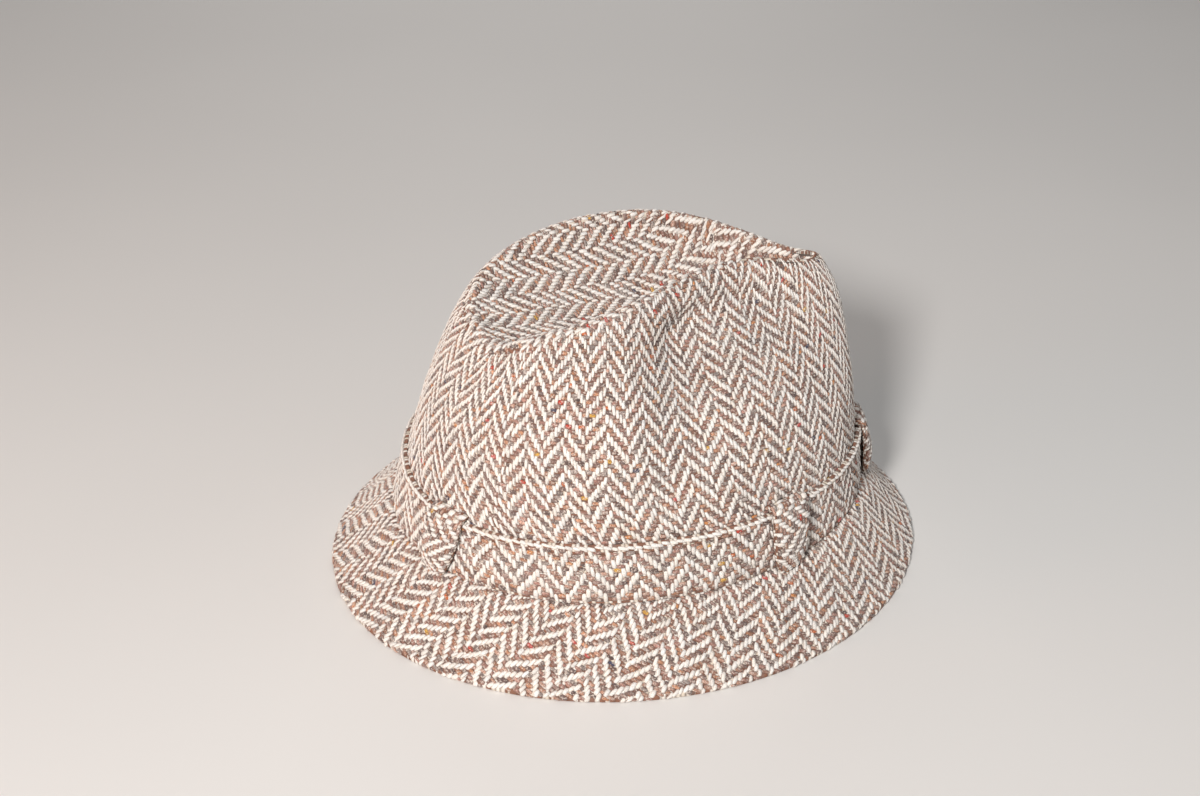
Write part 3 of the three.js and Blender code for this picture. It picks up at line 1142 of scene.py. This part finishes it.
# %% Loop cloth
LOOP_ANGLES = {
    "loop_front": -13,
    "loop_right": -66,
    "loop_right_back": -155,
    "loop_left_back": 125,
    "loop_left": 58,
}
LOOP_WIDTH, LOOP_THICK = 19.0, 2.4
LOOP_TAPER = 0.4
LOOP_REST = 4.4
LOOP_RISE = 0.1
LOOP_SQUARE = 0.6
LOOP_COLUMNS, LOOP_ROWS = 32, 24
LOOP_ROUND_PICKS = 20
LOOP_ENDS, LOOP_PICKS = (0, 40), (-12, 12)
LOOP_BARE_SIDE, LOOP_BARE_FOOT, LOOP_BARE_TOP = 0.6, 0.3, 0.5
# out in millimetres, up in shares of the band's height
LOOP_PATH = np.array([
    (4.3, 0.0), (5.9, 0.14), (7.0, 0.32), (6.8, 0.5), (5.7, 0.74), (4.7, 0.96), (3.0, 1.09), (0.4, 1.1),
])
loop_path_length = lengths_along(LOOP_PATH, (1, BAND_MIDDLE))
LOOP_LENGTH = loop_path_length[-1]


def loop_spot(length):
    return [np.interp(length, loop_path_length, LOOP_PATH[:, axis]) for axis in (0, 1)]


def loop_point(middle, aside, length, proud):
    """A point of a loop: aside from its middle, along its path, and out from its middle layer."""
    sides = [crown_point(middle + turn, LOOP_RISE) for turn in (SMALL_TURN, -SMALL_TURN)]
    radius = np.linalg.norm(sides[0] - sides[1]) / (2 * SMALL_TURN)
    narrow = 1 - LOOP_TAPER * (1 - np.clip(length / LOOP_LENGTH, 0, 1)) ** 3
    angle = middle + aside * narrow / radius
    before, after = loop_spot(length - 0.5), loop_spot(length + 0.5)
    out, up = loop_spot(length)
    out = out - np.maximum(out - LOOP_REST, 0) * (aside / (LOOP_WIDTH / 2)) ** 2
    run, climb = after[0] - before[0], (after[1] - before[1]) * BAND_MIDDLE
    size = np.hypot(run, climb) + 1e-9
    out = out + proud * climb / size
    rise = BAND_RISE * (up - proud * run / size / BAND_MIDDLE)
    return crown_offset(angle, rise, out)


def loop_ground(middle):
    def place(across, along):
        turn = across * 2 * math.pi
        aside, proud = (
            half * np.sign(wave) * np.abs(wave) ** LOOP_SQUARE
            for half, wave in ((LOOP_WIDTH / 2, np.cos(turn)), (LOOP_THICK / 2, np.sin(turn)))
        )
        return loop_point(middle, aside, along * LOOP_LENGTH, proud)
    return place


def loop_surface(middle):
    def surface(end, pick):
        proud = np.full(end.shape, LOOP_THICK / 2)
        return loop_point(middle, -pick * PICK_PITCH, end * END_PITCH, proud)
    return surface


def on_loop(end, pick):
    aside, length = np.abs(pick * PICK_PITCH), end * END_PITCH
    inside = aside < LOOP_WIDTH / 2 - LOOP_BARE_SIDE
    return inside & (length > LOOP_BARE_FOOT) & (length < LOOP_LENGTH - LOOP_BARE_TOP)


def loop_yarns(across, along):
    return along * LOOP_LENGTH / END_PITCH, across * LOOP_ROUND_PICKS


# %% Sew and weave the loops
for name, degrees in LOOP_ANGLES.items():
    middle = math.radians(degrees)
    tube = cut_cloth(LOOP_COLUMNS, LOOP_ROWS)
    bend_cloth(tube, loop_ground(middle), loop_yarns)
    sew(tube)
    open_edges = [edge for edge in tube.edges if edge.is_boundary]
    bmesh.ops.holes_fill(tube, edges=open_edges, sides=0)
    bmesh.ops.recalc_face_normals(tube, faces=tube.faces)
    cloth_piece(name + "_cloth", tube, [ground], [name])
    weave(name, loop_surface(middle), LOOP_ENDS, LOOP_PICKS, on_loop, "loop_cloth")

# %% [markdown]
# ## Floor, light and camera
# A pale floor keeps the picture plain. A key light to the left of the camera shows the dents, and wide
# weak ones on the other sides soften its shadows. The camera stands where the photographer stood.

# %% Floor
def floor_finish():
    finish, start, shader = new_finish("floor")
    place = start.node("TexCoord", out="Object")
    cloud = start.node("TexNoise", None, {"Vector": place, "Scale": 3.0}, out="Fac")
    feed(shader, Base_Color=cloud.mix(linear(226, 224, 221), linear(234, 232, 229)), Roughness=0.7)
    return finish


FLOOR_HALF = 6
bm = bmesh.new()
bmesh.ops.create_grid(bm, x_segments=4, y_segments=4, size=FLOOR_HALF)
mesh = bpy.data.meshes.new("floor")
bm.to_mesh(mesh)
bm.free()
mesh.materials.append(floor_finish())
floor = bpy.data.objects.new("floor", mesh)
bpy.context.scene.collection.objects.link(floor)
print("floor:", 2 * FLOOR_HALF, "m wide")


# %% Lights
def look_at(thing, place, aim):
    thing.location = place
    thing.rotation_mode = "QUATERNION"
    thing.rotation_quaternion = (Vector(aim) - Vector(place)).to_track_quat("-Z", "Y")
    bpy.context.scene.collection.objects.link(thing)


def soft_light(name, place, size, watts, colour):
    lamp = bpy.data.lights.new(name, "AREA")
    lamp.shape, lamp.size, lamp.energy, lamp.color = "DISK", size, watts, colour
    look_at(bpy.data.objects.new(name, lamp), place, LIGHT_AIM)


LIGHT_AIM = (0, 0, 0.06)
soft_light("key", (-0.74, -1.04, 0.92), 0.25, 20.6, (1.0, 0.97, 0.95))
soft_light("left", (-1.25, 0.0, 0.4), 0.6, 2.4, (1.0, 0.52, 0.28))
soft_light("right", (1.2, -0.5, 0.8), 0.9, 1, (0.92, 0.96, 1.0))
soft_light("back", (0.3, 1.3, 0.7), 1.0, 3, (1.0, 0.98, 0.96))
soft_light("above", (0.1, -0.45, 1.5), 0.8, 4.6, (1.0, 1.0, 1.0))
world = bpy.data.worlds.new("studio")
world.use_nodes = True
feed(world.node_tree.nodes["Background"], Color=(0.9, 0.9, 0.92, 1), Strength=0.1)
bpy.context.scene.world = world
bpy.context.scene.view_settings.view_transform = "Standard"

# %% Camera
AZIMUTH, ELEVATION, DISTANCE = math.radians(-18), math.radians(35.5), 0.762
LENS, SENSOR = 50, 36
CAMERA_AIM = (-0.0005, 0.0371, 0.0492)
lens = bpy.data.cameras.new("camera")
lens.lens, lens.sensor_width = LENS, SENSOR
camera = bpy.data.objects.new("camera", lens)
level = math.cos(ELEVATION)
sight = Vector((math.sin(AZIMUTH) * level, -math.cos(AZIMUTH) * level, math.sin(ELEVATION)))
look_at(camera, DISTANCE * sight, CAMERA_AIM)
bpy.context.scene.camera = camera
print("camera at", [round(part, 3) for part in camera.location])

# %% Update the view layer
bpy.context.view_layer.update()
